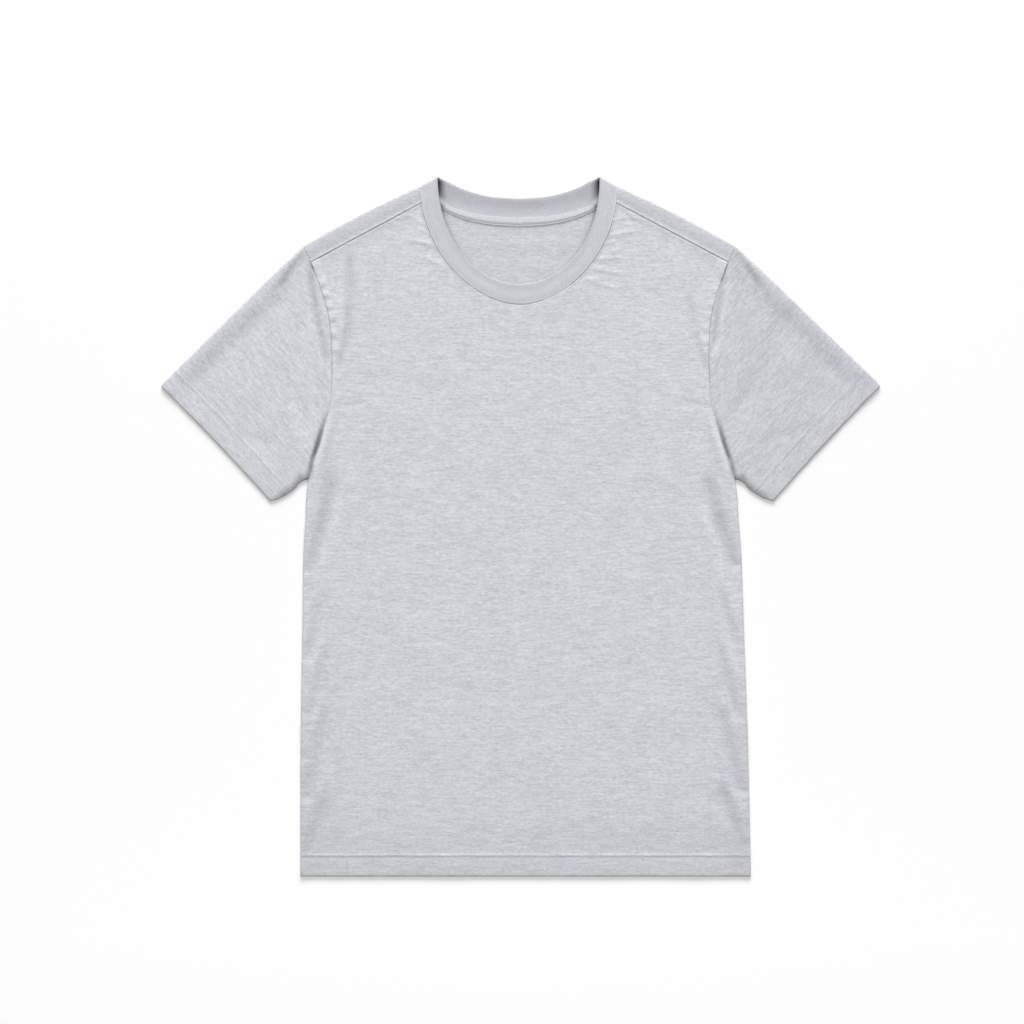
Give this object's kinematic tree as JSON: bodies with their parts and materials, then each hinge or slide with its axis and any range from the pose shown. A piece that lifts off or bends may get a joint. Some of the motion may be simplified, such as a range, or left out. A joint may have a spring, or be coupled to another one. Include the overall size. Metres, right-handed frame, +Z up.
{
  "type": "crew neck t-shirt",
  "caption": "Short-sleeved crew neck T-shirt in heather grey jersey with a rib neckband, laid flat front up.",
  "frame": {"origin": "on the surface that the shirt lies on, under the middle of its outline", "axes": "+X is the wearer's left, +Y is the neck end, +Z is up, out of the front of the shirt"},
  "size_m": [0.7908, 0.7689, 0.0066],
  "materials": {
    "jersey": "matte heather jersey",
    "rib": "matte 1x1 rib knit",
    "tape": "matte woven tape"
  },
  "bodies": {
    "root": {"front": "jersey", "back": "jersey", "sleeve_left": "jersey", "sleeve_right": "jersey", "neckband": "rib", "neck_tape": "tape"}
  },
  "joints": []
}
